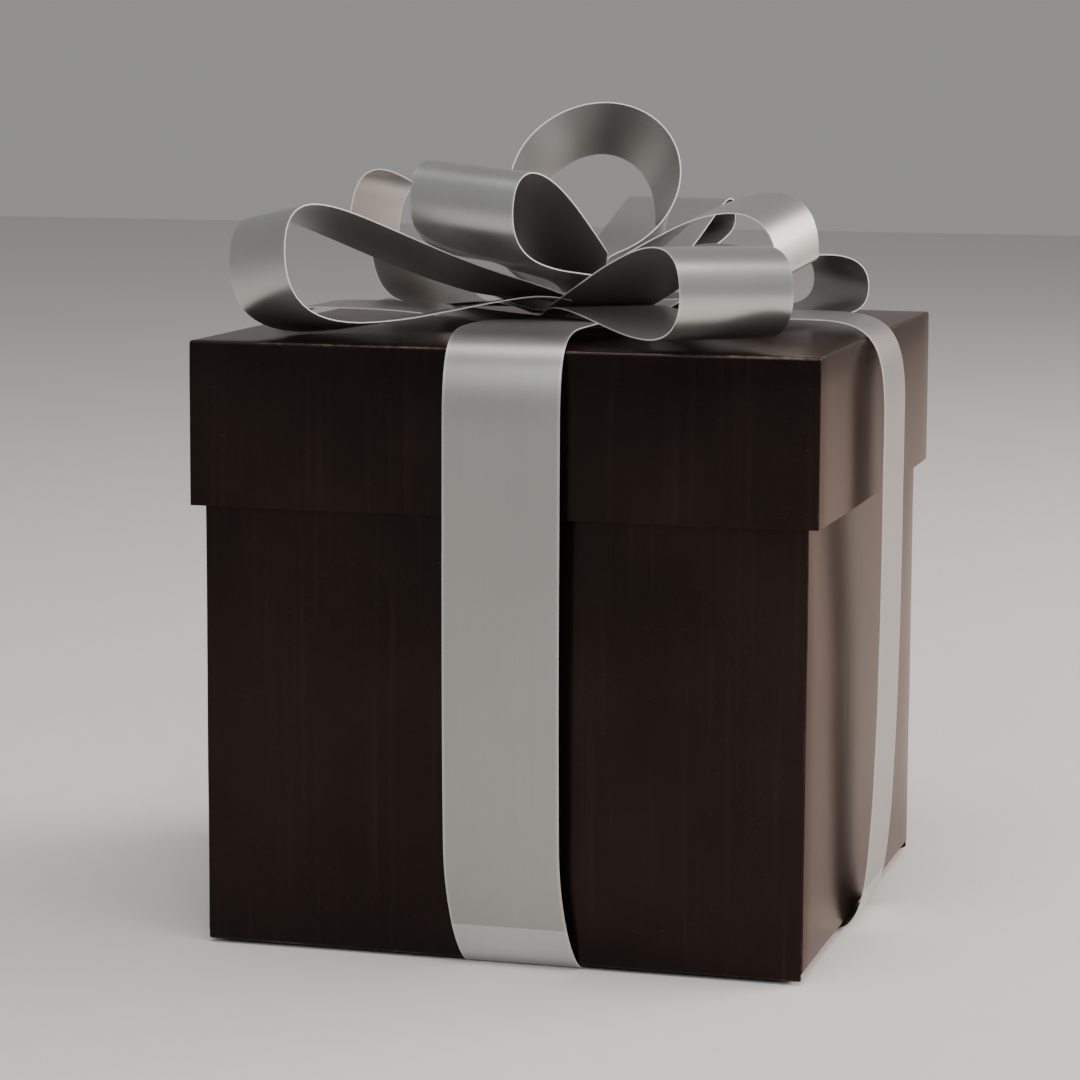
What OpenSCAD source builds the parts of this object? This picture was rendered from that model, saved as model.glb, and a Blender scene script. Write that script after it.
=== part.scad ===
// Gift box: a corrugated board base with a lift-off telescope lid, wrapped both
// ways in wide stiff ribbon, with a bow of folded ribbon loops on top.
// Millimetres, +Z up, +X to the right along the front. The origin is on the
// floor at the middle of the box.

/* [Box] */
// Outside width and depth of the base
box_w = 260; // [220:1:300]
// Height from the floor to the top of the lid
box_h = 260; // [220:1:300]
// Thickness of the corrugated board
board_t = 3; // [2:0.5:4]
// Width of the glue tab that closes the base's last corner
glue_tab_w = 32; // [20:1:40]
// Thickness of a crushed glue tab
tab_t = 1.5; // [1:0.1:1.6]
// Width of the tape along the bottom seam
tape_w = 48; // [30:1:60]

/* [Lid] */
// Depth of the lid's skirt
skirt_h = 70; // [40:1:110]
// Space between the skirt and the base on each side
lid_gap = 2; // [1.9:0.1:3]
// Width of the glued tabs inside the lid's corners
lid_tab_w = 26; // [15:1:40]

/* [Ribbon] */
// Width of the ribbon
ribbon_w = 50; // [38:1:56]
// Thickness of the ribbon
ribbon_t = 0.5; // [0.4:0.05:0.6]
// How far to the right of the middle the front band runs
front_band_x = 4; // [-10:1:10]
// How far behind the middle the side band runs
side_band_y = -6; // [-10:1:10]
// How far the bands stand out from the skirt at their widest
band_bulge = 8; // [7:0.5:12]
// Height at which the bands turn in under the base
band_turn = 18; // [15:1:25]

/* [Bow] */
// Space between one ribbon layer and the next at the pinched middle
layer_gap = 1.5; // [1.4:0.1:1.6]
// Width that the upper strips are gathered to at the pinch
gather_w = 18; // [14:1:20]
// Radius of the standing loop
centre_loop_r = 39; // [30:1:45]
// How far the standing loop leans back
centre_loop_lean = 30; // [25:1:32]
// How far the standing loop's ribbon turns to the left behind, in degrees
centre_loop_turn = 15; // [10:1:18]
// How far the standing loop's front edge is from the gathered edge
centre_loop_front = -8; // [-10:1:-6]

/* [Hidden] */

board_colour = [0.13, 0.11, 0.10];
tab_colour = [0.45, 0.34, 0.24];
tape_colour = [0.62, 0.50, 0.34];
ribbon_colour = [0.70, 0.70, 0.69];
steel_colour = [0.75, 0.76, 0.78];

// Gap kept between pieces that move apart
clear = 0.3;

// Heights of the layers under the floor of the box
tape_t = 0.2;
flap_z = 2 * ribbon_t + tape_t;
wall_z = flap_z + board_t;
rim_z = box_h - board_t - clear;

// Half sizes in plan
base_r = box_w / 2;
lid_r = base_r + lid_gap + board_t;
flap_inset = 3.5;
flap_r = base_r - flap_inset;
seam_gap = 0.5;

// Ribbon bands: half width in plan where they are widest, and at the turn
band_r = lid_r + band_bulge;
turn_r = lid_r + 2.5;
turn_in = 9;

// Heights of the bands over the middle of the lid, the lower one first
side_band_z = box_h + 1;
front_band_z = side_band_z + 1.8;

// Middle of the bow, where every strip is pinched
bow_x = 5;
bow_y = -6.5;
pinch_r = 8;
pad_z = front_band_z + ribbon_t / 2 + 0.4;
pad_h = 2.6;
pad_r = 10;
layer_z = pad_z + pad_h + ribbon_t / 2;

curve_steps = 14;

// ---- Curves -------------------------------------------------------------

// Point at t on the cubic curve with the four control points p
function cubic(p, t) =
    pow(1 - t, 3) * p[0] + 3 * t * pow(1 - t, 2) * p[1]
    + 3 * t * t * (1 - t) * p[2] + pow(t, 3) * p[3];

// Points along a cubic, leaving out the first one, which the curve before has
function cubic_run(p, steps = curve_steps) =
    [for (i = [1 : steps]) cubic(p, i / steps)];

function unit(v) = v / norm(v);

// Direction of a line of points at its point i
function heading(line, i) =
    unit(line[min(i + 1, len(line) - 1)] - line[max(i - 1, 0)]);

// The line of points moved sideways by d
function beside(line, d) =
    [for (i = [0 : len(line) - 1]) line[i] + d * [-heading(line, i)[1], heading(line, i)[0]]];

function backwards(line) = [for (i = [len(line) - 1 : -1 : 0]) line[i]];

function mirrored(line) = [for (p = backwards(line)) [-p[0], p[1]]];

// Outline of a thin ribbon that follows an open line
function thin_outline(line) =
    concat(beside(line, ribbon_t / 2), backwards(beside(line, -ribbon_t / 2)));

// ---- Sheet helpers ------------------------------------------------------

// Stands a drawing made in (outward, height) upright, facing along X, with
// its width along Y
module stand_facing_x(width) {
    rotate([90, 0, 0])
        translate([0, 0, -width / 2])
            linear_extrude(width) children();
}

// A ribbon that follows a line drawn in (outward, height)
module ribbon_along(line) {
    stand_facing_x(ribbon_w) polygon(thin_outline(line));
}

// ---- Board --------------------------------------------------------------

// One wall of a square box, at the +X side, mitred at its upright edges
module mitred_wall(r, z0, z1) {
    inner = r - board_t;
    translate([0, 0, z0])
        linear_extrude(z1 - z0)
            polygon([[r, -r], [r, r], [inner, inner], [inner, -inner]]);
}

module base_wall(turn) {
    color(board_colour) rotate(turn) mitred_wall(base_r, wall_z, rim_z);
}

module base_front_wall() { base_wall(-90); }

module base_back_wall() { base_wall(90); }

module base_left_wall() { base_wall(180); }

module base_right_wall() { base_wall(0); }

// Folded from the left wall and glued inside the back wall
module base_glue_tab() {
    inner = base_r - board_t;
    tab_z = wall_z + board_t + 4;
    color(tab_colour)
        translate([-inner, inner - tab_t, tab_z])
            cube([glue_tab_w, tab_t, rim_z - 6 - tab_z]);
}

// The outer pair of flaps runs under the walls and meets at the middle
module outer_flap(turn) {
    color(board_colour)
        rotate(turn)
            translate([seam_gap / 2, -flap_r, flap_z])
                cube([base_r - seam_gap / 2, 2 * flap_r, board_t]);
}

// The inner pair lies on the outer one, inside the walls
module inner_flap(turn) {
    color(board_colour)
        rotate(turn)
            translate([seam_gap / 2, -flap_r, wall_z])
                cube([base_r - board_t - seam_gap / 2, 2 * flap_r, board_t]);
}

module bottom_front_flap() { outer_flap(-90); }

module bottom_back_flap() { outer_flap(90); }

module bottom_left_flap() { inner_flap(180); }

module bottom_right_flap() { inner_flap(0); }

module bottom_tape() {
    color(tape_colour)
        translate([-flap_r, -tape_w / 2, flap_z - tape_t])
            cube([2 * flap_r, tape_w, tape_t]);
}

// ---- Lid ----------------------------------------------------------------

// Side view of half the lid's board, mitred where the skirt folds down
module skirt_profile() {
    polygon([
        [lid_r, box_h - skirt_h], [lid_r, box_h],
        [lid_r - board_t, box_h - board_t], [lid_r - board_t, box_h - skirt_h]
    ]);
}

module lid_wall(turn) {
    color(board_colour)
        rotate(turn)
            intersection() {
                mitred_wall(lid_r, box_h - skirt_h, box_h);
                stand_facing_x(3 * lid_r) skirt_profile();
            }
}

module lid_front_wall() { lid_wall(-90); }

module lid_back_wall() { lid_wall(90); }

module lid_left_wall() { lid_wall(180); }

module lid_right_wall() { lid_wall(0); }

module top_profile() {
    inner = lid_r - board_t;
    polygon([
        [-inner, box_h - board_t], [inner, box_h - board_t],
        [lid_r, box_h], [-lid_r, box_h]
    ]);
}

module lid_top_panel() {
    color(board_colour)
        intersection() {
            stand_facing_x(3 * lid_r) top_profile();
            rotate(90) stand_facing_x(3 * lid_r) top_profile();
        }
}

// A tab folded from the front or back skirt, glued inside the side skirt
module lid_tab(side, end) {
    inner = lid_r - board_t;
    x0 = side > 0 ? inner - tab_t : -inner;
    y0 = end > 0 ? inner - lid_tab_w : -inner;
    color(tab_colour)
        translate([x0, y0, box_h - skirt_h + 2])
            cube([tab_t, lid_tab_w, skirt_h - board_t - 4]);
}

module lid_tab_front_left() { lid_tab(-1, -1); }

module lid_tab_front_right() { lid_tab(1, -1); }

module lid_tab_back_left() { lid_tab(-1, 1); }

module lid_tab_back_right() { lid_tab(1, 1); }

// ---- Ribbon round the box -----------------------------------------------

// Half of the turn from the floor up the foot of a wall, as (outward, height)
function turn_up() = [
    for (i = [0 : 10])
        let (a = 9 * i)
        [turn_r - turn_in + turn_in * sin(a),
         ribbon_t / 2 + band_turn - band_turn * cos(a)]
];

module under_ribbon_front_back() {
    color(ribbon_colour)
        translate([front_band_x, 0, 0])
            rotate(90) ribbon_along(concat(mirrored(turn_up()), turn_up()));
}

// Runs along the floor and steps up over the other ribbon where they cross
module under_ribbon_side_side() {
    ramp = 5;
    step_l = front_band_x - ribbon_w / 2 - 1;
    step_r = front_band_x + ribbon_w / 2 + 1;
    floor_z = ribbon_t / 2;
    over_z = 3 * ribbon_t / 2;
    step = [
        [step_l - ramp, floor_z], [step_l, over_z],
        [step_r, over_z], [step_r + ramp, floor_z]
    ];
    color(ribbon_colour)
        translate([0, side_band_y, 0])
            ribbon_along(concat(mirrored(turn_up()), step, turn_up()));
}

// Half of a band, from the middle of the lid out over its edge and down to
// the turn: a low arch, a wide bend clear of the edge, and a bulging leg
function half_band(middle_z) =
    let (
        arch_r = 95,
        arch_z = box_h + 7,
        bend_z = box_h - 35,
        leg_end = band_turn + ribbon_t / 2 + clear
    )
    concat(
        [[0, middle_z]],
        cubic_run([[0, middle_z], [40, middle_z], [60, arch_z], [arch_r, arch_z]]),
        cubic_run([[arch_r, arch_z], [arch_r + 35, arch_z],
                   [band_r + 0.5, arch_z + 3], [band_r, bend_z]]),
        cubic_run([[band_r, bend_z], [band_r, bend_z - 75],
                   [turn_r + 2.5, leg_end + 52], [turn_r, leg_end]])
    );

function whole_band(middle_z) =
    let (half = half_band(middle_z))
    concat(mirrored(half), [for (i = [1 : len(half) - 1]) half[i]]);

module ribbon_band_front_back() {
    color(ribbon_colour)
        translate([front_band_x, 0, 0])
            rotate(90) ribbon_along(whole_band(front_band_z));
}

module ribbon_band_side_side() {
    color(ribbon_colour)
        translate([0, side_band_y, 0])
            ribbon_along(whole_band(side_band_z));
}

// ---- Bow ----------------------------------------------------------------

module at_bow() {
    translate([bow_x, bow_y, 0]) children();
}

module bow_pad() {
    color(tape_colour)
        at_bow() translate([0, 0, pad_z]) cylinder(h = pad_h, r = pad_r, $fn = 48);
}

function ease(t) = let (u = min(max(t, 0), 1)) u * u * (3 - 2 * u);

// Half the ribbon's width at distance r from the pinch, where it is gathered
// to half_pinch
function half_width(r, half_pinch) =
    half_pinch + (ribbon_w / 2 - half_pinch) * ease((r - pinch_r) / 20);

// Closed ribbon through a ring of sections, each [middle, half width, half
// thickness] as vectors. The under face is split along the same diagonals as
// the upper one, so the two stay apart where the ribbon twists
module ribbon_ring(sections) {
    count = len(sections);
    corners = [
        for (s = sections) each [
            s[0] + s[1] + s[2], s[0] - s[1] + s[2],
            s[0] - s[1] - s[2], s[0] + s[1] - s[2]
        ]
    ];
    polyhedron(corners, [
        for (i = [0 : count - 1], side = [0 : 3])
            let (
                a = 4 * i + side,
                b = 4 * i + (side + 1) % 4,
                c = 4 * ((i + 1) % count) + (side + 1) % 4,
                d = 4 * ((i + 1) % count) + side
            )
            each side == 2 ? [[a, d, b], [d, c, b]] : [[a, c, b], [a, d, c]]
    ], convexity = 6);
}

// Side view of one loop: it leaves the pinch at height z, swells out to its
// tip and comes back one layer higher.
//   reach, tip_z  where the tip is
//   low, high     [length, angle] of the handles at the pinch
//   drop, rise    lengths of the handles below and above the tip
function loop_line(z, reach, tip_z, low, drop, rise, high) =
    let (
        start = [pinch_r, z],
        tip = [reach, tip_z],
        back = [pinch_r, z + layer_gap]
    )
    concat(
        [start],
        cubic_run([start, start + low[0] * [cos(low[1]), sin(low[1])],
                   tip - [0, drop], tip]),
        cubic_run([tip, tip + [0, rise],
                   back + high[0] * [cos(high[1]), sin(high[1])], back])
    );

// Sections along a loop line that points to turn. The ribbon rolls about its
// own length by up to roll. side is 1 for a strip's first loop, -1 for the
// other, which the strip runs through the other way.
function loop_sections(turn, roll, line, half_pinch, side) =
    let (
        out = [cos(turn), sin(turn), 0],
        across = [-sin(turn), cos(turn), 0],
        up = [0, 0, 1],
        path = side > 0 ? line : backwards(line)
    )
    [for (i = [0 : len(path) - 1])
        let (
            p = path[i],
            h = heading(path, i),
            lean = roll * ease((p[0] - pinch_r) / 40),
            width = side * (cos(lean) * across + sin(lean) * up)
        )
        [out * p[0] + up * p[1],
         width * half_width(p[0], half_pinch),
         unit(cross(out * h[0] + up * h[1], width)) * ribbon_t / 2]
    ];

// Height of each strip's lower layer at the pinch
function tier(i) = layer_z + 2 * i * layer_gap;

// A strip of ribbon bent into two opposite loops: each is [turn, roll, reach,
// tip height, low handle, drop, rise, high handle]
module bow_strip(level, first, second, half_pinch = gather_w / 2) {
    line1 = loop_line(tier(level), first[2], first[3], first[4], first[5],
                      first[6], first[7]);
    line2 = loop_line(tier(level), second[2], second[3], second[4], second[5],
                      second[6], second[7]);
    color(ribbon_colour)
        at_bow()
            ribbon_ring(concat(
                loop_sections(first[0], first[1], line1, half_pinch, 1),
                loop_sections(second[0], second[1], line2, half_pinch, -1)
            ));
}

// Lowest strip: front right and back left
module bow_strip_first() {
    bow_strip(0,
        [-53.5, -0.5, 160, 284, [27, 36], 43, 42, [55, 16]],
        [140, 3, 143, 297, [61, 10], 60, 7, [125, 5]],
        half_pinch = ribbon_w / 2);
}

// Second strip: front left and back right
module bow_strip_second() {
    bow_strip(1,
        [227.5, 8, 165, 295, [50, 20], 62, 49, [98, 8]],
        [40.5, 1.5, 129, 276, [42, 22], 31, 29, [62, 15]]);
}

// Third strip: right and left
module bow_strip_third() {
    bow_strip(2,
        [-9.5, 8, 99, 290, [54, 53], 15, 57, [24, 66]],
        [171.5, 8, 106, 295, [21, 5], 8, 80, [17, -23]]);
}

// Top strip: front and back
module bow_strip_top() {
    bow_strip(3,
        [255.5, -5, 109, 316, [25, 57], 35, 25, [97, 45]],
        [80.5, 0, 112, 303, [74, 13], 9, 30, [67, 9]]);
}

// Standing loop: it rises from a narrow neck at the pinch into a ring that
// leans back. Its front edge is a true circle, and from there the ribbon
// turns to the left and draws in a little towards its back edge
module bow_centre_loop() {
    neck_h = 14;
    neck_half = 5;
    open_angle = 65;
    taper = 0.19;
    ring_z = neck_h + centre_loop_r;
    join = [centre_loop_r * cos(open_angle), ring_z - centre_loop_r * sin(open_angle)];
    half = concat(
        [[0, 0], [neck_half, 0]],
        cubic_run([[neck_half, 0], [neck_half + 2, neck_h * 0.6],
                   join - [8, 3.7], join], 6),
        [for (i = [1 : 31])
            let (a = i * 5 - open_angle)
            [centre_loop_r * cos(a), ring_z + centre_loop_r * sin(a)]]
    );
    ring = concat(half, [for (i = [len(half) - 2 : -1 : 1]) [-half[i][0], half[i][1]]]);
    back = [0, sin(centre_loop_lean), cos(centre_loop_lean)];
    count = len(ring);
    color(ribbon_colour)
        at_bow()
            translate([0, 0, tier(4)])
                ribbon_ring([
                    for (i = [0 : count - 1])
                        let (
                            p = ring[i],
                            h = unit(ring[(i + 1) % count] - ring[(i + count - 1) % count]),
                            open = ease(p[1] / neck_h - 0.2),
                            lean = centre_loop_lean * ease((p[1] - neck_h) / 50),
                            sway = ease((p[1] - neck_h) / 40),
                            across = tan(centre_loop_turn) + taper * p[0] / centre_loop_r,
                            width = unit([-sway * across, cos(lean), -sin(lean)]),
                            half_w = gather_w / 2 + (ribbon_w - gather_w) / 2 * open,
                            edge = p[0] * [1, 0, 0] + p[1] * back
                                   + [0, centre_loop_front * open - gather_w / 2, 0],
                            along = h[0] * [1, 0, 0] + h[1] * back
                        )
                        [edge + width * half_w, width * half_w,
                         unit(cross(along, width)) * ribbon_t / 2]
                ]);
}

// A wire staple through the pinched layers: a crown and two legs
module bow_staple() {
    wire_r = 0.4;
    half_span = 5;
    crown_z = tier(4) + ribbon_t / 2 + wire_r;
    leg_bottom = pad_z + pad_h - 1;
    color(steel_colour)
        at_bow() {
            translate([-half_span - wire_r, 0, crown_z])
                rotate([0, 90, 0])
                    cylinder(h = 2 * (half_span + wire_r), r = wire_r, $fn = 16);
            for (side = [-1, 1])
                translate([side * half_span, 0, leg_bottom])
                    cylinder(h = crown_z - leg_bottom, r = wire_r, $fn = 16);
        }
}

// ---- Assembly -----------------------------------------------------------

base_front_wall();
base_back_wall();
base_left_wall();
base_right_wall();
base_glue_tab();
bottom_front_flap();
bottom_back_flap();
bottom_left_flap();
bottom_right_flap();
bottom_tape();
under_ribbon_front_back();
under_ribbon_side_side();
lid_top_panel();
lid_front_wall();
lid_back_wall();
lid_left_wall();
lid_right_wall();
lid_tab_front_left();
lid_tab_front_right();
lid_tab_back_left();
lid_tab_back_right();
ribbon_band_front_back();
ribbon_band_side_side();
bow_pad();
bow_strip_first();
bow_strip_second();
bow_strip_third();
bow_strip_top();
bow_centre_loop();
bow_staple();
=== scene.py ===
"""Looks of the gift box: folded board, satin ribbon and the looped bow."""

import math
from collections import namedtuple

import bpy
import bmesh
from mathutils import Matrix, Vector, noise


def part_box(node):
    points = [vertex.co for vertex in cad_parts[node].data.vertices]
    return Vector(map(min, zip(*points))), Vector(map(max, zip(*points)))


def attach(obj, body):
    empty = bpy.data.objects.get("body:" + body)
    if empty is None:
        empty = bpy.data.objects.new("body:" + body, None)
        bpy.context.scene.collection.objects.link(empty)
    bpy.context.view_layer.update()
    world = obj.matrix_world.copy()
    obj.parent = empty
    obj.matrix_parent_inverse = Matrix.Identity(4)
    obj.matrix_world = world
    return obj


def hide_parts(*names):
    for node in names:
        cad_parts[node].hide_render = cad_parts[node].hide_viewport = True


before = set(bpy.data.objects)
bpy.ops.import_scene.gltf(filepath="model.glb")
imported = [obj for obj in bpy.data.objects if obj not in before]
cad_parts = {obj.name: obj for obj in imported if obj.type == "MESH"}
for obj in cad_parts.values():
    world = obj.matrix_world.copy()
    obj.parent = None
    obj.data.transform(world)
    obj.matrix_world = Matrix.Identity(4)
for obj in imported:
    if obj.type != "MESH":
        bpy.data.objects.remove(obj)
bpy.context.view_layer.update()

MM = 0.001
BOARD = 3 * MM
RIBBON_T = 0.5 * MM
RIBBON_HALF = 25 * MM


# ---- Numbers taken from the frame -----------------------------------------

def low(node):
    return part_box(node)[0]


def high(node):
    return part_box(node)[1]


BASE_R = high("base_right_wall").x
BASE_BOTTOM = low("base_front_wall").z
BASE_RIM = high("base_front_wall").z
FLAP_BOTTOM = low("bottom_front_flap").z
LID_R = high("lid_right_wall").x
LID_TOP = high("lid_top_panel").z
LID_BOTTOM = low("lid_front_wall").z
BAND_X = (low("ribbon_band_front_back").x + high("ribbon_band_front_back").x) / 2
BAND_Y = (low("ribbon_band_side_side").y + high("ribbon_band_side_side").y) / 2
PAD_LOW, PAD_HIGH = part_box("bow_pad")
BOW = Vector(((PAD_LOW.x + PAD_HIGH.x) / 2, (PAD_LOW.y + PAD_HIGH.y) / 2, 0))


# ---- Shader writing ---------------------------------------------------------

class Value:
    """A number in a shader, whose sums and products add Math nodes."""

    def __init__(self, shader, socket):
        self.shader = shader
        self.socket = socket

    def _math(self, operation, *values):
        return self.shader.node("ShaderNodeMath", {"operation": operation},
                                {i: v for i, v in enumerate(values)})

    def __add__(self, other):
        return self._math("ADD", self, other)

    def __radd__(self, other):
        return self._math("ADD", other, self)

    def __sub__(self, other):
        return self._math("SUBTRACT", self, other)

    def __rsub__(self, other):
        return self._math("SUBTRACT", other, self)

    def __mul__(self, other):
        return self._math("MULTIPLY", self, other)

    def __rmul__(self, other):
        return self._math("MULTIPLY", other, self)

    def __abs__(self):
        return self._math("ABSOLUTE", self)

    def least(self, other):
        return self._math("MINIMUM", self, other)

    def most(self, other):
        return self._math("MAXIMUM", self, other)

    def sine(self):
        return self._math("SINE", self)

    def ramp(self, start, end):
        """0 at start, 1 at end and smooth between them."""
        return self.shader.node(
            "ShaderNodeMapRange", {"interpolation_type": "SMOOTHSTEP"},
            {"Value": self, "From Min": start, "From Max": end})


class Shader:
    """One material being written."""

    def __init__(self, name):
        self.material = bpy.data.materials.new(name)
        self.material.use_nodes = True
        self.tree = self.material.node_tree
        self.surface = self.tree.nodes["Principled BSDF"]

    def node(self, kind, settings=None, inputs=None, output=0):
        """A new node of a kind: its settings first, then its sockets."""
        made = self.tree.nodes.new(kind)
        for key, value in (settings or {}).items():
            setattr(made, key, value)
        for key, value in (inputs or {}).items():
            self.put(made.inputs[key], value)
        return Value(self, made.outputs[output])

    def put(self, socket, value):
        """Links a socket to a value in the shader, or sets it to a constant."""
        if isinstance(value, Value):
            self.tree.links.new(value.socket, socket)
        elif socket.type == "RGBA" and len(value) == 3:
            socket.default_value = (*value, 1)
        else:
            socket.default_value = value

    def set(self, **inputs):
        """Sets the surface's inputs, named with _ for a space."""
        for key, value in inputs.items():
            self.put(self.surface.inputs[key.replace("_", " ")], value)

    def position(self):
        return self.node("ShaderNodeTexCoord", output="Object")

    def uv(self):
        return self.node("ShaderNodeTexCoord", output="UV")

    def split(self, vector):
        first = self.node("ShaderNodeSeparateXYZ", None, {"Vector": vector})
        return [Value(self, out) for out in first.socket.node.outputs]

    def stretched(self, vector, scale):
        return self.node("ShaderNodeMapping", None, {"Vector": vector, "Scale": scale})

    def cloud(self, vector, scale, detail=3.0, roughness=0.5):
        return self.node("ShaderNodeTexNoise", None, {
            "Vector": vector, "Scale": scale, "Detail": detail, "Roughness": roughness})

    def mix(self, amount, first, second):
        """From the first colour to the second, as amount goes from 0 to 1."""
        return self.node("ShaderNodeMix", {"data_type": "RGBA"},
                         {0: amount, 6: first, 7: second}, output=2)

    def bump(self, height, strength, distance):
        return self.node("ShaderNodeBump", None, {
            "Height": height, "Strength": strength, "Distance": distance})


# ---- Materials --------------------------------------------------------------

def printed_board(name, half, top, bottom):
    """Dark printed corrugated board: faint upright flutes, pale fibre in patches
    where the folds are worn, and a steady pale line along the lid's top folds
    and the base's foot that is a painted highlight."""
    s = Shader(name)
    place = s.position()
    x, y, z = s.split(place)
    side_x = half - abs(x)
    side_y = half - abs(y)
    corner = side_x.most(side_y)
    crease = z - bottom if top is None else top - z
    crease = crease.most(side_x.least(side_y))
    scuff = s.cloud(place, 420, 5, 0.75)
    drift = s.cloud(place, 26, 4, 0.6)
    patches = (scuff * 0.5 + drift * 0.7).ramp(0.60, 0.78)
    # Pale fibre in patches along the folds and corners is wear. The steady 0.2 share along the
    # folds is a painted highlight on them.
    worn_and_painted_highlight = (1 - crease.ramp(0.0003, 0.0016)) * (patches * 0.8 + 0.2)
    worn_and_painted_highlight = worn_and_painted_highlight.most((1 - corner.ramp(0.0002, 0.0012)) * patches * 0.35)
    flutes = s.cloud(s.stretched(place, (1, 1, 0.02)), 330, 2)
    blotch = s.cloud(place, 14, 4, 0.6)
    speck = s.cloud(place, 900, 2)
    ink = s.mix(blotch.ramp(0.35, 0.7), (0.0165, 0.0116, 0.0102), (0.0215, 0.0152, 0.0134))
    ink = s.mix(flutes.ramp(0.5, 0.8) * 0.35, ink, (0.032, 0.0230, 0.0205))
    ink = s.mix(speck.ramp(0.66, 0.74) * 0.20, ink, (0.10, 0.075, 0.063))
    ink = s.mix(worn_and_painted_highlight * 0.5, ink, (0.34, 0.27, 0.22))
    height = flutes * 0.5 + speck * 0.25 + blotch * 0.6
    s.set(Base_Color=ink, Metallic=0.75 - worn_and_painted_highlight * 0.4,
          Roughness=0.17 + blotch * 0.06 + worn_and_painted_highlight * 0.4,
          Normal=s.bump(height, 0.18, 0.0004))
    # The warm tints on the reflection and the sheen are painted. They colour the board's
    # grazing reflections warm, standing in for warm surroundings.
    s.set(Specular_IOR_Level=0.15, Specular_Tint=(0.68, 0.57, 0.52),
          Sheen_Weight=0.022, Sheen_Roughness=0.45, Sheen_Tint=(1.0, 0.70, 0.56))
    return s.material


def plain_board(name):
    """Unprinted liner on the inside of the board."""
    s = Shader(name)
    place = s.position()
    fibre = s.cloud(s.stretched(place, (1, 1, 3)), 320, 5, 0.7)
    flutes = s.cloud(s.stretched(place, (1, 1, 0.02)), 220, 2)
    blotch = s.cloud(place, 12, 4)
    tone = s.mix(blotch, (0.21, 0.135, 0.075), (0.30, 0.205, 0.125))
    tone = s.mix(fibre.ramp(0.5, 0.8) * 0.4, tone, (0.36, 0.26, 0.17))
    s.set(Base_Color=tone, Roughness=0.86 + fibre * 0.1,
          Normal=s.bump(fibre * 0.5 + flutes, 0.35, 0.0005))
    return s.material


def cut_board(name):
    """Cut edge of corrugated board: two liners with the fluting between."""
    s = Shader(name)
    place = s.position()
    x, y, _ = s.split(place)
    wave = ((x + y) * 900).sine() * 0.5 + 0.5
    fibre = s.cloud(place, 500, 4)
    tone = s.mix(wave.ramp(0.2, 0.8), (0.055, 0.036, 0.022), (0.27, 0.185, 0.115))
    tone = s.mix(fibre.ramp(0.5, 0.8) * 0.5, tone, (0.30, 0.21, 0.14))
    s.set(Base_Color=tone, Roughness=0.92, Normal=s.bump(wave + fibre * 0.4, 0.6, 0.0006))
    return s.material


def satin(name, bright, deep, metal, rough):
    """Stiff satin ribbon: fine threads along its length and a fainter weft."""
    s = Shader(name)
    along_across = s.uv()
    _, across, _ = s.split(along_across)
    threads = s.cloud(s.stretched(along_across, (6, 2600, 1)), 1, 2)
    weft = s.cloud(s.stretched(along_across, (3200, 40, 1)), 1, 2)
    drift = s.cloud(s.position(), 22, 3)
    crease = s.cloud(s.stretched(along_across, (36, 4, 1)), 1, 3)
    tone = s.mix(threads * 0.55 + drift * 0.45, deep, bright)
    tone = s.mix(weft.ramp(0.5, 0.8) * 0.15, tone, deep)
    selvedge = abs(across).ramp(0.0236, 0.0246)
    tone = s.mix(selvedge * 0.3, tone, (0.80, 0.78, 0.76))
    s.set(Base_Color=tone,
          Metallic=metal,
          Roughness=rough + threads * 0.08 + drift * 0.05,
          Normal=s.bump(crease * 0.6 + threads * 0.25 + weft * 0.12, 0.16, 0.0005))
    s.set(Sheen_Weight=0.05, Sheen_Roughness=0.4)
    return s.material


def ribbon_cut(name):
    """Pale cut edge of the ribbon."""
    s = Shader(name)
    fray = s.cloud(s.position(), 1800, 3)
    tone = s.mix(fray, (0.74, 0.72, 0.70), (0.94, 0.92, 0.90))
    s.set(Base_Color=tone, Roughness=0.6 + fray * 0.2, Normal=s.bump(fray, 0.3, 0.0001))
    return s.material


def packing_tape(name):
    """Brown film tape, rippled along its length, with trapped air."""
    s = Shader(name)
    ripple = s.cloud(s.stretched(s.position(), (1, 12, 1)), 30, 3)
    bubble = s.cloud(s.position(), 260, 2)
    tone = s.mix(ripple, (0.33, 0.21, 0.10), (0.47, 0.33, 0.18))
    s.set(Base_Color=tone, Roughness=0.14 + bubble.ramp(0.5, 0.7) * 0.25,
          Normal=s.bump(ripple + bubble * 0.3, 0.3, 0.0003))
    return s.material


def foam(name):
    """Pale open-celled foam."""
    s = Shader(name)
    cells = s.cloud(s.position(), 1500, 3, 0.7)
    tone = s.mix(cells, (0.62, 0.60, 0.55), (0.85, 0.83, 0.79))
    s.set(Base_Color=tone, Roughness=0.95, Normal=s.bump(cells, 0.7, 0.0003))
    return s.material


def wire(name):
    """Drawn steel wire."""
    s = Shader(name)
    drawn = s.cloud(s.stretched(s.position(), (40, 900, 900)), 1, 3)
    tone = s.mix(drawn, (0.50, 0.50, 0.52), (0.68, 0.68, 0.70))
    s.set(Base_Color=tone, Metallic=1.0, Roughness=0.25 + drawn * 0.15)
    return s.material


BASE_PRINT = printed_board("base_print", BASE_R, None, FLAP_BOTTOM)
LID_PRINT = printed_board("lid_print", LID_R, LID_TOP, 0)
LINER = plain_board("board_liner")
CUT = cut_board("board_cut_edge")
RIBBON_FACE = satin("ribbon_face", (0.60, 0.605, 0.59), (0.44, 0.445, 0.435), 0.93, 0.27)
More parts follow.
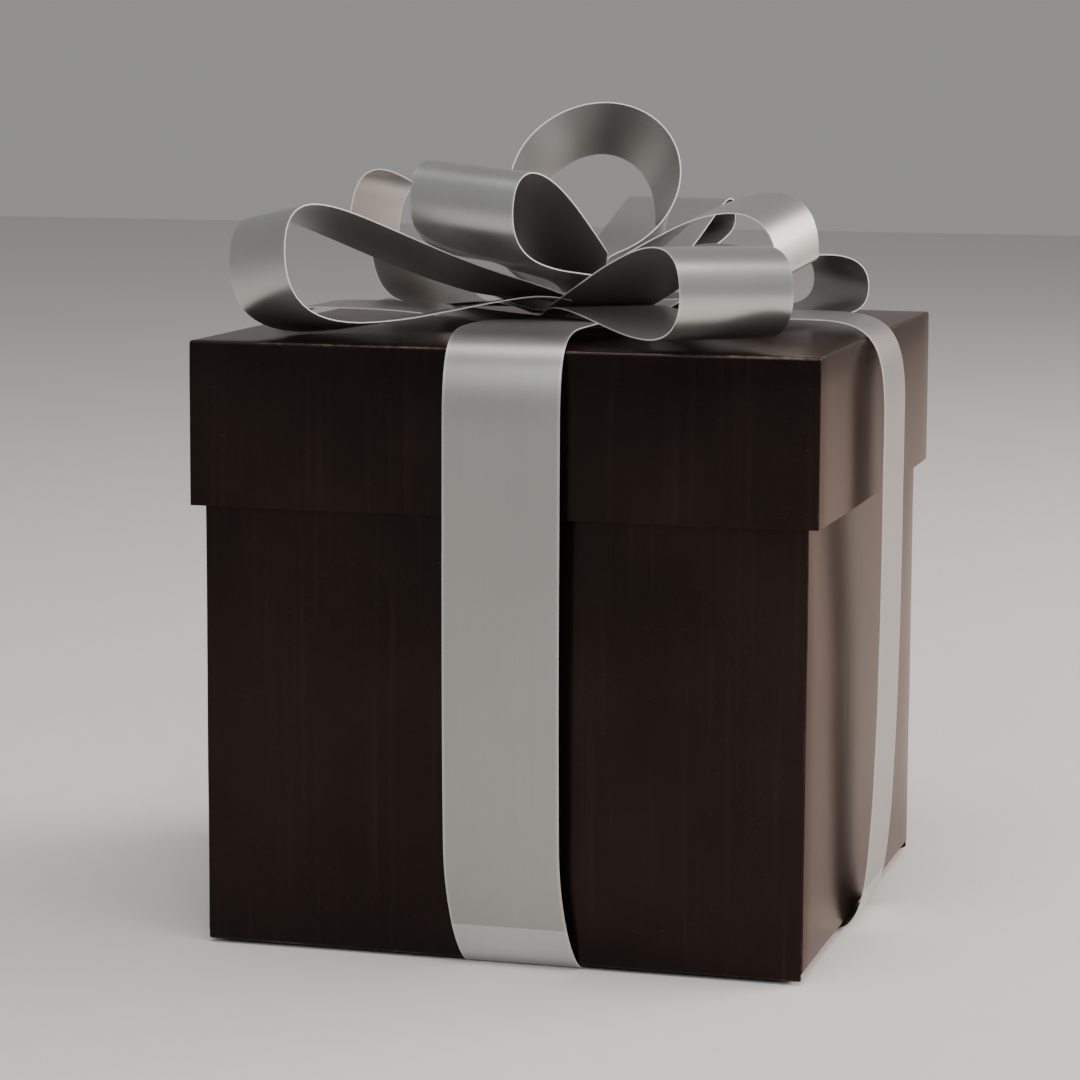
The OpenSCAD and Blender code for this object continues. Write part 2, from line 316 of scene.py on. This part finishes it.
# The ribbon's back is the same satin painted darker and less metallic: painted shade for the
# loops' inner sides, which lie in shade.
RIBBON_BACK_PAINTED_SHADE = satin("ribbon_back_painted_shade", (0.42, 0.41, 0.40), (0.31, 0.302, 0.295), 0.88, 0.30)
RIBBON_CUT = ribbon_cut("ribbon_cut_edge")
TAPE = packing_tape("bottom_tape_film")
FOAM = foam("bow_pad_foam")
WIRE = wire("staple_wire")


# ---- Mesh helpers -----------------------------------------------------------

SHARP_FOLD = math.radians(35)


def ease(t):
    """A smooth step: 0 up to t = 0, and 1 from t = 1."""
    u = min(max(t, 0.0), 1.0)
    return u * u * (3 - 2 * u)


def within(value, limit):
    """The value, kept between -limit and limit."""
    return max(-limit, min(limit, value))


def place_piece(name, mesh):
    """Puts a finished mesh in the scene, smooth but for its sharp folds."""
    mesh.shade_smooth()
    mesh.set_sharp_from_angle(angle=SHARP_FOLD)
    piece = bpy.data.objects.new(name, mesh)
    bpy.context.scene.collection.objects.link(piece)
    return piece


def new_piece(name, points, faces, slots, materials, uvs=None):
    """A piece from points and faces, with a material slot for each face."""
    mesh = bpy.data.meshes.new(name)
    mesh.from_pydata([tuple(p) for p in points], [], faces)
    for m in materials:
        mesh.materials.append(m)
    mesh.polygons.foreach_set("material_index", slots)
    if uvs is not None:
        layer = mesh.uv_layers.new(name="UVMap")
        for loop in mesh.loops:
            layer.data[loop.index].uv = uvs[loop.vertex_index]
    mesh.validate()
    return place_piece(name, mesh)


def outward(piece):
    """Turns every face of a closed piece to look out."""
    work = bmesh.new()
    work.from_mesh(piece.data)
    bmesh.ops.recalc_face_normals(work, faces=work.faces)
    work.to_mesh(piece.data)
    work.free()
    return piece


def hand_over(piece, body, node):
    """The piece stands for a node of the frame and moves with its body."""
    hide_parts(node)
    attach(piece, body)


# ---- Board ------------------------------------------------------------------

FOLD_R = 1.6 * MM
TURNS = {"front": 0, "right": 90, "back": 180, "left": 270}
FINE_STEP, COARSE_STEP = 14 * MM, 60 * MM

# How far walls swell out. A base's fades out below the lid, to clear its tabs
BASE_SWELL, LID_SWELL = 1.6 * MM, 0.9 * MM
SWELL_FADE_FROM, SWELL_FADE_OVER = 120 * MM, 72 * MM

# Unevenness of folded board, broad and fine, and the set-back that keeps it
# inside the box's true size
DENT, RIPPLE = 0.22 * MM, 0.10 * MM
DENT_PER_M, RIPPLE_PER_M = 16, 60
SET_BACK = 0.2 * MM


def spread(start, end, rounded_start, rounded_end, step=FINE_STEP):
    """Values from start to end, close together inside a rounded end."""
    values = [start]
    arc = [FOLD_R * k for k in (0.25, 0.5, 0.75, 1.0)]
    if rounded_start:
        values += [start + a for a in arc]
    inner_end = end - FOLD_R if rounded_end else end
    count = max(2, round((inner_end - values[-1]) / step))
    first = values[-1]
    values += [first + (inner_end - first) * i / count for i in range(1, count + 1)]
    if rounded_end:
        values += [end - a for a in reversed(arc[:-1])] + [end]
    return values


def belly(u, v, free_foot):
    """The share of its swell that a wall has, for u and v from -1 to 1
    across and up it. It is held at its corners, at its top, and at its foot
    unless that is free."""
    rise = (v + 1) / 2 if free_foot else v
    return (1 - u ** 4) * (1 - rise ** 4)


def soften(point, half, top, bottom=None):
    """Moves a point of a sharp box face onto the box's rounded folds, and
    adds the slight unevenness of folded board."""
    limit = half - FOLD_R
    height = point.z
    if top is not None:
        height = min(height, top - FOLD_R)
    if bottom is not None:
        height = max(height, bottom + FOLD_R)
    core = Vector((within(point.x, limit), within(point.y, limit), height))
    away = point - core
    if away.length < 1e-9:
        return point
    away.normalize()
    dent = (DENT * noise.noise(point * DENT_PER_M)
            + RIPPLE * noise.noise(point * RIPPLE_PER_M))
    return core + away * (FOLD_R + dent - SET_BACK)


def sheet_of_board(name, columns, rows, outer, inner, materials, rim_slots):
    """A closed board panel from an outer and an inner grid that share their
    border order. rim_slots gives the material of its four cut sides."""
    points, faces, slots = [], [], []
    grids = []
    for place, us, vs in ((outer, *columns), (inner, *rows)):
        index = {}
        for i, u in enumerate(us):
            for j, v in enumerate(vs):
                index[i, j] = len(points)
                points.append(place(u, v))
        grids.append((index, len(us), len(vs)))
    for which, (index, nu, nv) in enumerate(grids):
        for i in range(nu - 1):
            for j in range(nv - 1):
                quad = [index[i, j], index[i + 1, j], index[i + 1, j + 1], index[i, j + 1]]
                faces.append(quad if which == 0 else quad[::-1])
                slots.append(which)

    def border(grid, side):
        index, nu, nv = grid
        if side == 0:
            return [index[i, 0] for i in range(nu)]
        if side == 1:
            return [index[nu - 1, j] for j in range(nv)]
        if side == 2:
            return [index[i, nv - 1] for i in range(nu)][::-1]
        return [index[0, j] for j in range(nv)][::-1]

    for side in range(4):
        faces.append(border(grids[1], side) + border(grids[0], side)[::-1])
        slots.append(rim_slots[side])
    return outward(new_piece(name, points, faces, slots, materials))


def wall(name, side, half, bottom, top, is_lid, print_material):
    """One upright wall. Its ends are cut at the corner's mitre. A lid's wall
    also meets the top panel at a mitre, and a base's folds in at its foot."""
    turn = Matrix.Rotation(math.radians(TURNS[side]), 3, "Z")
    box_top = top if is_lid else None
    box_bottom = None if is_lid else bottom
    inside = half - BOARD
    inside_top = top - BOARD if is_lid else top

    def outer(a, z):
        up = 2 * (z - bottom) / (top - bottom) - 1
        swell = (LID_SWELL if is_lid else BASE_SWELL) * belly(a / half, up, is_lid)
        if not is_lid:
            swell *= 1 - ease((z - SWELL_FADE_FROM) / SWELL_FADE_OVER)
        point = soften(Vector((a, -half, z)), half, box_top, box_bottom)
        return turn @ (point - Vector((0, swell, 0)))

    def inner(a, z):
        return turn @ Vector((a, -inside, z))

    return sheet_of_board(
        name,
        (spread(-half, half, True, True), spread(bottom, top, not is_lid, is_lid)),
        (spread(-inside, inside, False, False, COARSE_STEP),
         spread(bottom, inside_top, False, False, COARSE_STEP)),
        outer, inner, (print_material, LINER, CUT),
        (2 if is_lid else 0, 0, 0 if is_lid else 2, 0))


def top_panel(name):
    """The lid's top, which meets the lid's walls at a mitre."""
    inside = LID_R - BOARD
    grid = spread(-LID_R, LID_R, True, True)
    inner_grid = spread(-inside, inside, False, False, COARSE_STEP)
    return sheet_of_board(
        name, (grid, grid), (inner_grid, inner_grid),
        lambda x, y: soften(Vector((x, y, LID_TOP)), LID_R, LID_TOP),
        lambda x, y: Vector((x, y, LID_TOP - BOARD)),
        (LID_PRINT, LINER, CUT), (0, 0, 0, 0))


def make_box():
    """The walls of the base and the lid, and the lid's top."""
    for side in TURNS:
        name = f"base_{side}_wall"
        foot = FLAP_BOTTOM if side in ("front", "back") else BASE_BOTTOM
        hand_over(wall(f"base_{side}_board", side, BASE_R, foot, BASE_RIM,
                       False, BASE_PRINT), "base", name)
        name = f"lid_{side}_wall"
        hand_over(wall(f"lid_{side}_board", side, LID_R, LID_BOTTOM, LID_TOP,
                       True, LID_PRINT), "lid", name)
    hand_over(top_panel("lid_top_board"), "lid", "lid_top_panel")


# A flat board's rounding, as a share of its thickness, the tilt from which a
# face of it counts as cut, and the bottom flaps' play inside the walls
EDGE_SHARE = 0.28
EDGE_TILT = 0.8
FLAP_PLAY = 0.2 * MM


def flat_board(name, node, printed_side, limit=1.0):
    """A flat piece of board with softly rounded edges in a node's place, kept
    within limit of the middle. printed_side is 1, -1 or, for none, 0."""
    lo, hi = (Vector((within(c.x, limit), within(c.y, limit), c.z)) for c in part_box(node))
    size = hi - lo
    mesh = bpy.data.meshes.new(name)
    work = bmesh.new()
    bmesh.ops.create_cube(work, size=1.0)
    for v in work.verts:
        v.co = lo + Vector([(c + 0.5) * s for c, s in zip(v.co, size)])
    bmesh.ops.bevel(work, geom=list(work.edges), offset=EDGE_SHARE * min(size), segments=3,
                    affect="EDGES", profile=0.5)
    work.to_mesh(mesh)
    work.free()
    for m in (LINER, BASE_PRINT, CUT):
        mesh.materials.append(m)
    thin = min(range(3), key=lambda k: size[k])
    for f in mesh.polygons:
        flat = f.normal[thin]
        if abs(flat) < EDGE_TILT:
            f.material_index = 2
        else:
            f.material_index = 1 if flat * printed_side > 0 else 0
    return place_piece(name, mesh)


def make_flaps_and_tabs():
    """The bottom flaps, and the glue tabs inside the base and the lid."""
    for side in TURNS:
        node = f"bottom_{side}_flap"
        board = flat_board(f"{node}_board", node, -1, BASE_R - BOARD - FLAP_PLAY)
        hand_over(board, "base", node)
    hand_over(flat_board("base_glue_tab_board", "base_glue_tab", 0),
              "base", "base_glue_tab")
    for end in ("front", "back"):
        for side in ("left", "right"):
            node = f"lid_tab_{end}_{side}"
            hand_over(flat_board(f"{node}_board", node, 0), "lid", node)


# ---- Ribbon -----------------------------------------------------------------

def cubic(p, steps):
    """Points along a cubic, leaving out the first."""
    out = []
    for i in range(1, steps + 1):
        t = i / steps
        weights = ((1 - t) ** 3, 3 * t * (1 - t) ** 2, 3 * t * t * (1 - t), t ** 3)
        out.append(tuple(sum(w * q[k] for w, q in zip(weights, p)) for k in (0, 1)))
    return out


# Places across a ribbon, as shares of its half width, and its slight waviness
ACROSS = [-1, -0.96, -0.72, -0.36, 0, 0.36, 0.72, 0.96, 1]
WAVE, WAVE_PER_M = 0.12 * MM, 45


def ribbon(name, sections, closed):
    """A thin ribbon through sections, each (middle, half width vector), and
    its length. The first of its faces looks to the left of its travel."""
    count = len(sections)
    middles = [m for m, _ in sections]
    lengths = [0.0]
    for a, b in zip(middles, middles[1:]):
        lengths.append(lengths[-1] + (b - a).length)
    points, uvs = [], []
    for i, (middle, half) in enumerate(sections):
        if closed:
            ahead, behind = middles[(i + 1) % count], middles[i - 1]
        else:
            ahead, behind = middles[min(i + 1, count - 1)], middles[max(i - 1, 0)]
        normal = (ahead - behind).cross(half).normalized()
        for side in (1, -1):
            for a in ACROSS:
                wave = WAVE * noise.noise((middle + half * a) * WAVE_PER_M)
                points.append(middle + half * a + normal * (side * RIBBON_T / 2 + wave))
                uvs.append((lengths[i], a * RIBBON_HALF))
    n = len(ACROSS)
    row = 2 * n
    faces, slots = [], []
    last = count if closed else count - 1
    for i in range(last):
        here, there = i * row, ((i + 1) % count) * row
        for k in range(n - 1):
            faces.append([here + k, there + k, there + k + 1, here + k + 1])
            slots.append(0)
            faces.append([here + n + k + 1, there + n + k + 1, there + n + k, here + n + k])
            slots.append(1)
        faces.append([here + n, there + n, there, here])
        slots.append(2)
        faces.append([here + n - 1, there + n - 1, there + 2 * n - 1, here + 2 * n - 1])
        slots.append(2)
    if not closed:
        for end in (0, (count - 1) * row):
            ring = list(range(end, end + n)) + list(range(end + 2 * n - 1, end + n - 1, -1))
            faces.append(ring)
            slots.append(1)
    # The first faces take the darker satin, which is painted shade.
    materials = (RIBBON_BACK_PAINTED_SHADE, RIBBON_FACE, RIBBON_CUT)
    piece = outward(new_piece(name, points, faces, slots, materials, uvs))
    length = lengths[-1] + ((middles[0] - middles[-1]).length if closed else 0)
    return piece, length


# The turn up the foot of a wall: how far out it ends, how deep and how high
# its bend is, and how much of a quarter turn it makes
TURN_R = LID_R + 2.5 * MM
TURN_IN = 12 * MM
TURN_UP = 27 * MM
TURN_END = math.radians(70)
TURN_STEPS = 16
TURN_HIGH = RIBBON_T / 2 + TURN_UP * (1 - math.cos(TURN_END))
TURN_SLOPE = TURN_IN / (TURN_UP * math.tan(TURN_END))
BAND_R = high("ribbon_band_side_side").x - RIBBON_T / 2
FOOT_GAP = 0.02 * MM


def band_half(middle_z):
    """Half of a band as (outward, height): a low arch over the lid, a wide
    bend clear of its edge, and a bulging leg."""
    arch_r, arch_z = 95 * MM, LID_TOP + 7 * MM
    bend_z = LID_TOP - 35 * MM
    leg_end = TURN_HIGH + FOOT_GAP
    foot_pull = 35 * MM
    arch = [(0, middle_z), (40 * MM, middle_z), (60 * MM, arch_z), (arch_r, arch_z)]
    bend = [(arch_r, arch_z), (arch_r + 35 * MM, arch_z),
            (BAND_R + 0.5 * MM, arch_z + 3 * MM), (BAND_R, bend_z)]
    leg = [(BAND_R, bend_z), (BAND_R, bend_z - 75 * MM),
           (TURN_R + foot_pull * TURN_SLOPE, leg_end + foot_pull), (TURN_R, leg_end)]
    return [(0.0, middle_z)] + cubic(arch, 24) + cubic(bend, 30) + cubic(leg, 36)


def turned_up():
    """The ribbon's turn up the foot of a wall, as (outward, height)."""
    return [(TURN_R - TURN_IN * (math.sin(TURN_END) - math.sin(a)),
             RIBBON_T / 2 + TURN_UP * (1 - math.cos(a)))
            for a in (TURN_END * i / TURN_STEPS for i in range(TURN_STEPS + 1))]


# The front foot of the ribbon along Y slips aside and in below SLIP_TOP
SLIP = Vector((6.5, 0.4, 0)) * MM
SLIP_TOP = 52 * MM
SLIP_R = 60 * MM


def upright_sections(line, along, offset):
    """Sections for a ribbon drawn in (outward, height) that runs along X or
    Y, moved sideways by offset."""
    sections = []
    for r, z in line:
        middle = Vector((r, offset, z)) if along == "x" else Vector((offset, r, z))
        if along == "y":
            low_down = max(0.0, 1 - z / SLIP_TOP) ** 2
            middle += SLIP * low_down * ease((-r - SLIP_R) / SLIP_R)
        half = Vector((0, RIBBON_HALF, 0)) if along == "x" else Vector((-RIBBON_HALF, 0, 0))
        sections.append((middle, half))
    return sections


def both_halves(half):
    """A line drawn outwards from the middle, with its mirror image before it."""
    return [(-r, z) for r, z in reversed(half)] + list(half[1:])


def make_bands():
    """The two bands cross over the lid, the front-to-back one on top."""
    lower, upper = LID_TOP + 1.0 * MM, LID_TOP + 2.8 * MM
    for along, offset, node, middle_z in (
            ("x", BAND_Y, "ribbon_band_side_side", lower),
            ("y", BAND_X, "ribbon_band_front_back", upper)):
        line = both_halves(band_half(middle_z))
        piece, length = ribbon(f"{node}_satin", upright_sections(line, along, offset), False)
        hand_over(piece, "ribbon_wrap", node)


def make_under_ribbons():
    """The lengths under the box: one flat, the other stepping over it."""
    turn = turned_up()
    mirrored = [(-r, z) for r, z in reversed(turn)]
    floor, over = RIBBON_T / 2, 3 * RIBBON_T / 2
    left, right = BAND_X - RIBBON_HALF - 1 * MM, BAND_X + RIBBON_HALF + 1 * MM
    ramp, flat_half = 5 * MM, 60 * MM
    step = [(left - ramp, floor), (left, over), (right, over), (right + ramp, floor)]
    level = [(-flat_half, floor), (flat_half, floor)]
    for along, offset, node, middle in (
            ("x", BAND_Y, "under_ribbon_side_side", step),
            ("y", BAND_X, "under_ribbon_front_back", level)):
        sections = upright_sections(mirrored + middle + turn, along, offset)
        piece, length = ribbon(f"{node}_satin", sections, False)
        hand_over(piece, "base", node)


# ---- Bow --------------------------------------------------------------------

# Where the loops start, their half width there when gathered, and how they
# are layered on the pad
PINCH_R = 8 * MM
GATHER_HALF = 9 * MM
LAYER_GAP = 1.5 * MM
LAYER_Z = PAD_HIGH.z + RIBBON_T / 2
LOOP_STEPS = 30
ROLL_OVER, WIDEN_OVER = 40 * MM, 20 * MM

# One loop of a strip. Angles are in degrees and lengths in millimetres: which
# way it points and how far it rolls over, its reach, the height of its tip,
# how far the curve drops and rises from the tip, and its low and high handles
# at the pinch, each (length, angle)
Loop = namedtuple("Loop", "turn roll reach tip_z low_handle drop rise high_handle")

# Each strip's layer, its half width at the pinch and its two loops
STRIPS = {
    "bow_strip_first": (0, RIBBON_HALF,
                        Loop(-53.5, -0.5, 160, 284, (27, 36), 43, 42, (55, 16)),
                        Loop(140, 3, 143, 297, (61, 10), 60, 7, (125, 5))),
    "bow_strip_second": (1, GATHER_HALF,
                         Loop(227.5, 8, 165, 295, (50, 20), 62, 49, (98, 8)),
                         Loop(40.5, 1.5, 129, 276, (42, 22), 31, 29, (62, 15))),
    "bow_strip_third": (2, GATHER_HALF,
                        Loop(-9.5, 8, 99, 290, (54, 53), 15, 57, (24, 66)),
                        Loop(171.5, 8, 106, 295, (21, 5), 8, 80, (17, -23))),
    "bow_strip_top": (3, GATHER_HALF,
                      Loop(255.5, -5, 109, 316, (25, 57), 35, 25, (97, 45)),
                      Loop(80.5, 0, 112, 303, (74, 13), 9, 30, (67, 9))),
}
CENTRE_TIER = len(STRIPS)


def tier(level):
    """Height of a layer of the bow at the pinch."""
    return LAYER_Z + 2 * level * LAYER_GAP


def handle(start, length_and_angle):
    """The end of a curve's handle, from its start."""
    length, angle = length_and_angle
    away = math.radians(angle)
    return (start[0] + length * MM * math.cos(away), start[1] + length * MM * math.sin(away))


def loop_line(z, loop):
    """Side view of a loop, as (distance from the pinch, height)."""
    start, back = (PINCH_R, z), (PINCH_R, z + LAYER_GAP)
    tip = (loop.reach * MM, loop.tip_z * MM)
    below, above = (tip[0], tip[1] - loop.drop * MM), (tip[0], tip[1] + loop.rise * MM)
    return ([start]
            + cubic([start, handle(start, loop.low_handle), below, tip], LOOP_STEPS)
            + cubic([tip, above, handle(back, loop.high_handle), back], LOOP_STEPS))


def loop_sections(loop, line, half_pinch, side):
    """Sections of a loop: narrow at the pinch, then full width and rolled
    over. side is 1 going out from the pinch, or -1 for the other way."""
    angle = math.radians(loop.turn)
    out = Vector((math.cos(angle), math.sin(angle), 0))
    across = Vector((-math.sin(angle), math.cos(angle), 0))
    up = Vector((0, 0, 1))
    sections = []
    for r, z in (line if side > 0 else reversed(line)):
        lean = math.radians(loop.roll) * ease((r - PINCH_R) / ROLL_OVER)
        width = half_pinch + (RIBBON_HALF - half_pinch) * ease((r - PINCH_R) / WIDEN_OVER)
        half = side * width * (math.cos(lean) * across + math.sin(lean) * up)
        sections.append((BOW + out * r + up * z, half))
    return sections


def make_strips():
    """Each strip is one closed ribbon, with a loop to either side."""
    for node, (level, half_pinch, first, second) in STRIPS.items():
        sections = []
        for loop, side in ((first, 1), (second, -1)):
            line = loop_line(tier(level), loop)
            sections += loop_sections(loop, line, half_pinch, side)
        piece, length = ribbon(f"{node}_satin", sections, True)
        hand_over(piece, "ribbon_wrap", node)


def ring_line(ring_r, neck_h, neck_half, neck_angle):
    """The standing loop seen from the front, in millimetres: a round ring
    that opens from a narrow neck, which it meets at neck_angle."""
    ring_z = neck_h + ring_r
    steps = 50
    join = (ring_r * math.cos(math.radians(neck_angle)),
            ring_z - ring_r * math.sin(math.radians(neck_angle)))
    half = ([(0, 0), (neck_half, 0)]
            + cubic([(neck_half, 0), (neck_half + 2, neck_h * 0.6),
                     (join[0] - 8, join[1] - 3.7), join], 12))
    for i in range(1, steps + 1):
        a = math.radians((90 + neck_angle) * i / steps - neck_angle)
        half.append((ring_r * math.cos(a), ring_z + ring_r * math.sin(a)))
    return half + [(-x, z) for x, z in reversed(half[1:-1])]


def make_centre_loop():
    """The standing loop: a ring on a narrow neck, leaning back, its ribbon
    turned to the left and drawn in towards its back edge."""
    ring_r, neck_h, taper = 39, 14, 0.19
    lean_over, turn_over = 50, 40
    neck_front, ring_front = 9, 17
    lean_back, turned = math.radians(30), math.radians(15)
    back = Vector((0, math.sin(lean_back), math.cos(lean_back)))
    foot = BOW + Vector((0, 0, tier(CENTRE_TIER)))
    sections = []
    for x, h in ring_line(ring_r, neck_h, 5, 65):
        opened = ease(h / neck_h - 0.2)
        lean = lean_back * ease((h - neck_h) / lean_over)
        sideways = ease((h - neck_h) / turn_over) * (math.tan(turned) + taper * x / ring_r)
        width = Vector((-sideways, math.cos(lean), -math.sin(lean))).normalized()
        half = width * (GATHER_HALF + (RIBBON_HALF - GATHER_HALF) * opened)
        front = neck_front + (ring_front - neck_front) * opened
        edge = (Vector((x, -front, 0)) + h * back) * MM
        sections.append((foot + edge + half, half))
    piece, length = ribbon("bow_centre_loop_satin", sections, True)
    hand_over(piece, "ribbon_wrap", "bow_centre_loop")


# ---- Small parts -------------------------------------------------------------

PAD_SWELL = 0.06


def make_bow_pad():
    """A round foam pad, pressed by the bow so that its side swells a little."""
    radius = (PAD_HIGH.x - PAD_LOW.x) / 2
    tall = PAD_HIGH.z - PAD_LOW.z
    around, up_side = 48, 8
    points = []
    for j in range(up_side + 1):
        turn = math.pi * j / up_side
        reach = radius * (1 - PAD_SWELL * (1 - math.sin(turn)))
        height = PAD_LOW.z + tall * (1 - math.cos(turn)) / 2
        for i in range(around):
            a = 2 * math.pi * i / around
            points.append((BOW.x + reach * math.cos(a), BOW.y + reach * math.sin(a), height))
    faces = [(j * around + i, j * around + (i + 1) % around,
              (j + 1) * around + (i + 1) % around, (j + 1) * around + i)
             for j in range(up_side) for i in range(around)]
    faces.append(tuple(reversed(range(around))))
    faces.append(tuple(range(up_side * around, (up_side + 1) * around)))
    piece = outward(new_piece("bow_foam_pad", points, faces, [0] * len(faces), [FOAM]))
    hand_over(piece, "ribbon_wrap", "bow_pad")


def finish_small_parts():
    """The tape and the staple keep their shapes from the frame."""
    for node, material in (("bottom_tape", TAPE), ("bow_staple", WIRE)):
        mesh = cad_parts[node].data
        mesh.materials.clear()
        mesh.materials.append(material)


# ---- Studio -----------------------------------------------------------------

def make_stage():
    """A wide pale paper floor."""
    half = 6.0
    mesh = bpy.data.meshes.new("studio_floor")
    mesh.from_pydata([(-half, -half, 0), (half, -half, 0), (half, half, 0), (-half, half, 0)],
                     [], [(0, 1, 2, 3)])
    s = Shader("studio_floor_paper")
    grain = s.cloud(s.position(), 60, 4)
    s.set(Base_Color=s.mix(grain, (0.76, 0.735, 0.71), (0.80, 0.775, 0.75)), Roughness=0.8)
    mesh.materials.append(s.material)
    floor = bpy.data.objects.new("studio_floor", mesh)
    bpy.context.scene.collection.objects.link(floor)


def area_light(name, place, target, size, power, colour):
    """A soft rectangular lamp that faces its target."""
    lamp = bpy.data.lights.new(name, "AREA")
    lamp.shape = "RECTANGLE"
    lamp.size, lamp.size_y = size
    lamp.energy = power
    lamp.color = colour
    holder = bpy.data.objects.new(name, lamp)
    holder.location = place
    holder.rotation_euler = (Vector(target) - Vector(place)).to_track_quat("-Z", "Y").to_euler()
    bpy.context.scene.collection.objects.link(holder)


def make_light():
    """A pale world, three soft lamps on the box and one on the floor behind."""
    world = bpy.data.worlds.new("studio")
    bpy.context.scene.world = world
    world.use_nodes = True
    sky = world.node_tree.nodes["Background"].inputs
    sky["Color"].default_value = (1.0, 0.985, 0.97, 1)
    sky["Strength"].default_value = 0.30
    box = (0, 0, 0.2)
    area_light("key_from_right", (2.0, 0.9, 1.1), box, (1.8, 1.8), 62, (1, 0.88, 0.80))
    area_light("soft_overhead", (0.2, -0.6, 2.0), box, (1.6, 1.0), 22, (1, 0.99, 0.97))
    area_light("front_fill", (0.3, -2.5, 1.5), box, (2.0, 1.2), 27, (0.97, 1, 0.99))
    area_light("back_wash", (2.2, 2.4, 1.3), (0.9, 1.4, 0), (1.6, 1.2), 22, (1, 0.86, 0.77))


CAMERA_PLACE = (0.3979, -1.5115, 0.3799)
CAMERA_YAW, CAMERA_PITCH, CAMERA_TILT = 15.4, 7.91, 0.28


def make_camera():
    """A long lens, a little above the lid, looking down at the box from the
    front and a little to its right."""
    lens = bpy.data.cameras.new("camera")
    lens.sensor_width = 36
    lens.lens = 116.9
    camera = bpy.data.objects.new("camera", lens)
    yaw, pitch, tilt = (math.radians(a) for a in (CAMERA_YAW, CAMERA_PITCH, CAMERA_TILT))
    forward = Vector((-math.sin(yaw) * math.cos(pitch), math.cos(yaw) * math.cos(pitch),
                      -math.sin(pitch)))
    right = Vector((math.cos(yaw), math.sin(yaw), 0))
    up = right.cross(forward)
    level_right = math.cos(tilt) * right + math.sin(tilt) * up
    level_up = -math.sin(tilt) * right + math.cos(tilt) * up
    facing = Matrix((level_right, level_up, -forward)).transposed().to_4x4()
    camera.matrix_world = Matrix.Translation(CAMERA_PLACE) @ facing
    bpy.context.scene.collection.objects.link(camera)
    bpy.context.scene.camera = camera


make_camera()
make_box()
make_flaps_and_tabs()
make_bands()
make_under_ribbons()
make_strips()
make_centre_loop()
make_bow_pad()
finish_small_parts()
make_stage()
make_light()
